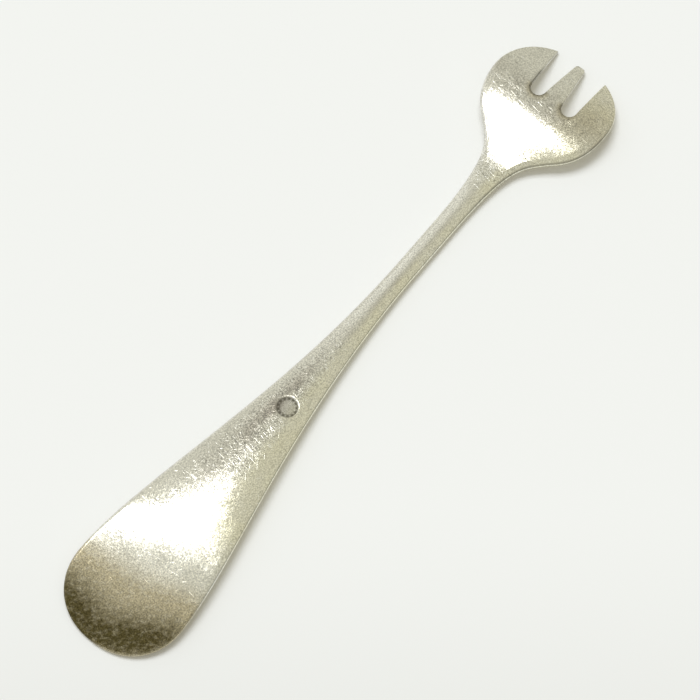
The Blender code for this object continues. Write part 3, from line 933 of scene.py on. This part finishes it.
def worn_silver(finish):
    """Sterling silver, struck, filed and hand polished, then worn and tarnished in use.

    To the eye it is a soft mirror that fine scratches and facets break up, yellowed where it is seldom
    rubbed. Scratches, facets and speckle are drawn about three times as wide as real ones, which would
    be finer than a pixel.
    """
    material = bpy.data.materials.new("worn_sterling_silver")
    material.use_nodes = True
    tree = material.node_tree
    place = add_node(tree, "ShaderNodeTexCoord").outputs["Object"]
    wear = {name: add_node(tree, "ShaderNodeAttribute", {"attribute_name": name}).outputs["Fac"]
            for name in ("tarnish", "film", "dirt_shade_and_reflection", "scratched", "patina_and_reflection")}

    # Scratches from use and cleaning: bright partly where fresh metal shows and partly as painted glints,
    # dark where dirt has filled them.
    bright, dark = (scratch_lines(tree, place, wear["scratched"], families)
                    for families in (BRIGHT_SCRATCHES, DARK_SCRATCHES))

    # Speckle of the worn polish, slow ripples left by the file, smudges of handling and wiped mottling.
    speckle, ripple, smudge = (
        add_node(tree, "ShaderNodeTexNoise", None, Vector=place, Scale=1 / size,
                 Detail=detail).outputs["Fac"]
        for size, detail in ((SPECKLE, PLAIN_DETAIL), (RIPPLE, PLAIN_DETAIL), (SMUDGE, CLOUDY_DETAIL)))
    wiped = add_node(tree, "ShaderNodeMapping", {"vector_type": "TEXTURE"}, Vector=place,
                     Rotation=(0.0, 0.0, WIPED_TURN), Scale=WIPED_SIZE)
    mottle = add_node(tree, "ShaderNodeTexNoise", {"noise_dimensions": "2D"}, Vector=wiped.outputs[0],
                      Scale=1.0, Detail=CLOUDY_DETAIL, Roughness=MOTTLE_ROUGHNESS).outputs["Fac"]

    # Brightness: speckle, strongest where scratches crowd or tarnish lies, with both kinds of scratches.
    spread = add_node(tree, "ShaderNodeMapRange", None, Value=wear["scratched"],
                      To_Min=SPECKLE_SPREAD[0], To_Max=SPECKLE_SPREAD[1])
    spread = add_node(tree, "ShaderNodeMath", {"operation": "ADD"}, i0=spread.outputs["Result"],
                      i1=wear["tarnish"])
    centred = add_node(tree, "ShaderNodeMath", {"operation": "SUBTRACT"}, i0=speckle, i1=NOISE_MIDDLE)
    worn = add_node(tree, "ShaderNodeMath", {"operation": "MULTIPLY_ADD"}, i0=centred.outputs[0],
                    i1=spread.outputs[0], i2=POLISH_BRIGHTNESS).outputs[0]
    for lines, gain in ((bright, BRIGHT_SCRATCH_AND_GLINT_GAIN), (dark, DARK_GAIN)):
        worn = add_node(tree, "ShaderNodeMath", {"operation": "MULTIPLY_ADD"}, i0=lines, i1=gain,
                        i2=worn).outputs[0]
    silver = layered_colour(tree, finish, wear, smudge, mottle, speckle)
    silver = add_node(tree, "ShaderNodeVectorMath", {"operation": "SCALE"}, i0=silver, Scale=worn)

    roughness = add_node(tree, "ShaderNodeMapRange", None, Value=smudge, From_Min=NOISE_RANGE[0],
                         From_Max=NOISE_RANGE[1], To_Min=POLISH_ROUGHNESS[0],
                         To_Max=POLISH_ROUGHNESS[1]).outputs["Result"]
    for layer, more in ((wear["tarnish"], TARNISH_ROUGHNESS), (wear["dirt_shade_and_reflection"], DIRT_SHADE_AND_REFLECTION_ROUGHNESS)):
        roughness = add_node(tree, "ShaderNodeMath", {"operation": "MULTIPLY_ADD"}, i0=layer, i1=more,
                             i2=roughness).outputs[0]

    # Heights: ripples, then speckle, then the scratches cut into both.
    height = 0.0
    for surface, rise in ((ripple, RIPPLE_HEIGHT), (speckle, SPECKLE_HEIGHT),
                          (bright, SCRATCH_HEIGHT), (dark, SCRATCH_HEIGHT)):
        height = add_node(tree, "ShaderNodeMath", {"operation": "MULTIPLY_ADD"}, i0=surface, i1=rise,
                          i2=height).outputs[0]
    bump = add_node(tree, "ShaderNodeBump", None, Distance=MM, Height=height,
                    Normal=facet_normal(tree, place))

    shader = tree.nodes["Principled BSDF"]
    tree.links.new(silver.outputs[0], shader.inputs["Base Color"])
    tree.links.new(roughness, shader.inputs["Roughness"])
    tree.links.new(bump.outputs[0], shader.inputs["Normal"])
    shader.inputs["Metallic"].default_value = 1.0
    return material


def matt_board(setup, away):
    """White board, pressed and left matt: an even white with no sheen.

    Its colour darkens a little towards the camera, by a smooth step: painted shade, for the light falling
    off there. The light that it scatters is drawn as a faint glow, so that shadows on it stay warm.
    """
    material = bpy.data.materials.new("matt_white_board")
    material.use_nodes = True
    tree = material.node_tree
    place = add_node(tree, "ShaderNodeTexCoord").outputs["Object"]
    onward = add_node(tree, "ShaderNodeVectorMath", {"operation": "DOT_PRODUCT"}, i0=place, i1=away)
    shade = add_node(tree, "ShaderNodeMapRange", {"interpolation_type": "SMOOTHSTEP"},
                     Value=onward.outputs["Value"], From_Min=TABLE_SHADE_STEP[0],
                     From_Max=TABLE_SHADE_STEP[1], To_Min=TABLE_SHADE, To_Max=1.0)
    board = add_node(tree, "ShaderNodeVectorMath", {"operation": "SCALE"},
                     i0=srgb(setup.table_colour)[:3], Scale=shade.outputs["Result"])
    shader = tree.nodes["Principled BSDF"]
    tree.links.new(board.outputs[0], shader.inputs["Base Color"])
    shader.inputs["Roughness"].default_value = TABLE_ROUGHNESS
    shader.inputs["Specular IOR Level"].default_value = 0.0
    shader.inputs["Emission Color"].default_value = srgb(setup.glow_colour)
    shader.inputs["Emission Strength"].default_value = TABLE_GLOW
    return material


def add_table(scene, setup, away):
    """One large square on the ground, which is the stage's and not the fork's."""
    reach = TABLE_WIDTH / 2
    mesh = bpy.data.meshes.new("table")
    mesh.from_pydata([(-reach, -reach, 0), (reach, -reach, 0), (reach, reach, 0), (-reach, reach, 0)],
                     [], [(0, 1, 2, 3)])
    mesh.materials.append(matt_board(setup, away))
    table = bpy.data.objects.new("table", mesh)
    scene.collection.objects.link(table)


def add_lamp(scene, setup, lamp, right, away):
    """A soft rectangular lamp that faces the fork, slid along its own width.

    Its energy is its radiance times pi and its area.
    """
    up = (1 - lamp.right ** 2 - lamp.away ** 2) ** 0.5
    facing = right * lamp.right + away * lamp.away + Vector((0, 0, up))
    run = (right - facing * right.dot(facing)).normalized()
    wide, deep = setup.lamp_distance * lamp.width, setup.lamp_distance * lamp.depth
    light = bpy.data.lights.new(lamp.name, "AREA")
    light.shape = "RECTANGLE"
    light.size = wide
    light.size_y = deep
    light.energy = lamp.radiance * np.pi * wide * deep
    holder = bpy.data.objects.new(lamp.name, light)
    place = Matrix((run, facing.cross(run), facing)).transposed().to_4x4()
    place.translation = setup.lamp_distance * (facing + lamp.slide * run)
    holder.matrix_world = place
    holder.visible_glossy = lamp.mirrored
    scene.collection.objects.link(holder)


def light_room(scene, setup, right, away):
    """The room's light: dim walls and, by a smooth step of the height, a bright sky over them.

    The sky starts higher on the camera's right and lower on the far side, and it is brighter and cooler
    to the left. The silver mirrors the room brighter than the room lights the table.
    """
    world = bpy.data.worlds.new("studio_room")
    world.use_nodes = True
    scene.world = world
    tree = world.node_tree
    direction = add_node(tree, "ShaderNodeTexCoord").outputs["Generated"]
    leftward, onward = (
        add_node(tree, "ShaderNodeVectorMath", {"operation": "DOT_PRODUCT"}, i0=direction,
                 i1=axis).outputs["Value"] for axis in (-right, away))
    height = add_node(tree, "ShaderNodeSeparateXYZ", None, Vector=direction).outputs["Z"]
    for side, operation, change in ((leftward, "MINIMUM", RIGHT_RISE), (onward, "MAXIMUM", FAR_DROP)):
        share = add_node(tree, "ShaderNodeMath", {"operation": operation}, i0=side, i1=0.0)
        height = add_node(tree, "ShaderNodeMath", {"operation": "MULTIPLY_ADD"}, i0=share.outputs[0],
                          i1=change, i2=height).outputs[0]
    open_sky = add_node(tree, "ShaderNodeMapRange", {"interpolation_type": "SMOOTHSTEP"}, Value=height,
                        From_Min=SKY_STEP[0], From_Max=SKY_STEP[1]).outputs["Result"]
    sky = add_node(tree, "ShaderNodeMapRange", None, Value=leftward, To_Min=setup.sky,
                   To_Max=setup.sky + setup.window)
    light = add_node(tree, "ShaderNodeMath", {"operation": "MULTIPLY_ADD"}, i0=open_sky,
                     i1=sky.outputs["Result"], i2=setup.horizon)
    glossy = add_node(tree, "ShaderNodeLightPath").outputs["Is Glossy Ray"]
    walls = add_node(tree, "ShaderNodeMath", {"operation": "MULTIPLY"}, i0=glossy, i1=setup.walls)
    walls = add_node(tree, "ShaderNodeMapRange", None, Value=open_sky, To_Min=walls.outputs[0], To_Max=0.0)
    light = add_node(tree, "ShaderNodeMath", {"operation": "ADD"}, i0=light.outputs[0],
                     i1=walls.outputs["Result"])
    share = add_node(tree, "ShaderNodeMapRange", None, Value=glossy, To_Min=ROOM_ON_TABLE, To_Max=1.0)
    light = add_node(tree, "ShaderNodeMath", {"operation": "MULTIPLY"}, i0=light.outputs[0],
                     i1=share.outputs["Result"])
    tint = add_node(tree, "ShaderNodeMix", {"data_type": "RGBA"}, Factor=leftward,
                    i6=srgb(setup.sky_colour), i7=srgb(setup.window_colour))
    tree.links.new(tint.outputs[2], tree.nodes["Background"].inputs["Color"])
    tree.links.new(light.outputs[0], tree.nodes["Background"].inputs["Strength"])


def add_camera(scene, setup, look):
    """A camera that looks at its aim from its distance."""
    camera = bpy.data.cameras.new("camera")
    camera.sensor_width = SENSOR_WIDTH
    camera.lens = setup.lens
    camera.clip_start = CLIP_START
    holder = bpy.data.objects.new("camera", camera)
    holder.location = Vector(setup.aim) - look * setup.distance
    holder.rotation_euler = look.to_track_quat("-Z", "Y").to_euler()
    scene.collection.objects.link(holder)
    scene.camera = holder


class SNAILFORK_OT_fork(bpy.types.Operator):
    """Build the silver fork over its CAD solid"""
    bl_idname = "snail_fork.fork"
    bl_label = "Build Fork"

    def execute(self, context):
        scene = context.scene
        mesh = fork_mesh(scene.fork_outline, scene.fork_section, scene.fork_mark, scene.fork_detail)
        mesh.materials.append(worn_silver(scene.fork_finish))
        piece = bpy.data.objects.new("silver_fork", mesh)
        scene.collection.objects.link(piece)
        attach(piece, "root")
        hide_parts("fork")
        return {"FINISHED"}


class SNAILFORK_OT_stage(bpy.types.Operator):
    """Set up the pale table, the soft light and the camera"""
    bl_idname = "snail_fork.stage"
    bl_label = "Build Stage"

    def execute(self, context):
        scene = context.scene
        setup = scene.fork_stage
        level = np.cos(setup.elevation)
        look = Vector((-np.sin(setup.azimuth) * level, np.cos(setup.azimuth) * level,
                       -np.sin(setup.elevation)))
        away = Vector((look.x, look.y, 0)).normalized()
        right = away.cross(Vector((0, 0, 1)))
        add_table(scene, setup, away)
        for lamp in LAMPS:
            add_lamp(scene, setup, lamp, right, away)
        light_room(scene, setup, right, away)
        add_camera(scene, setup, look)
        scene.view_settings.view_transform = "Standard"
        return {"FINISHED"}


class SNAILFORK_PT_panel(bpy.types.Panel):
    """Lists the steps that build the fork"""
    bl_label = "Snail Fork"
    bl_idname = "SNAILFORK_PT_panel"
    bl_space_type = "VIEW_3D"
    bl_region_type = "UI"
    bl_category = "Snail Fork"

    def draw(self, context):
        for operator in (SNAILFORK_OT_fork, SNAILFORK_OT_stage):
            self.layout.operator(operator.bl_idname)


GROUPS = {"fork_outline": ForkOutline, "fork_section": ForkSection, "fork_mark": PunchMark,
          "fork_detail": MeshDetail, "fork_finish": SilverFinish, "fork_stage": StageSetup}
CLASSES = (*GROUPS.values(), SNAILFORK_OT_fork, SNAILFORK_OT_stage, SNAILFORK_PT_panel)


def register():
    """Register the classes, and give the scene one of each group of settings."""
    for cls in CLASSES:
        bpy.utils.register_class(cls)
    for name, group in GROUPS.items():
        setattr(bpy.types.Scene, name, PointerProperty(type=group))


def unregister():
    """Take the settings and the classes away again."""
    for name in GROUPS:
        delattr(bpy.types.Scene, name)
    for cls in reversed(CLASSES):
        bpy.utils.unregister_class(cls)


def main():
    """Build the fork and its stage."""
    register()
    bpy.ops.snail_fork.fork()
    bpy.ops.snail_fork.stage()


if __name__ == "__main__":
    main()
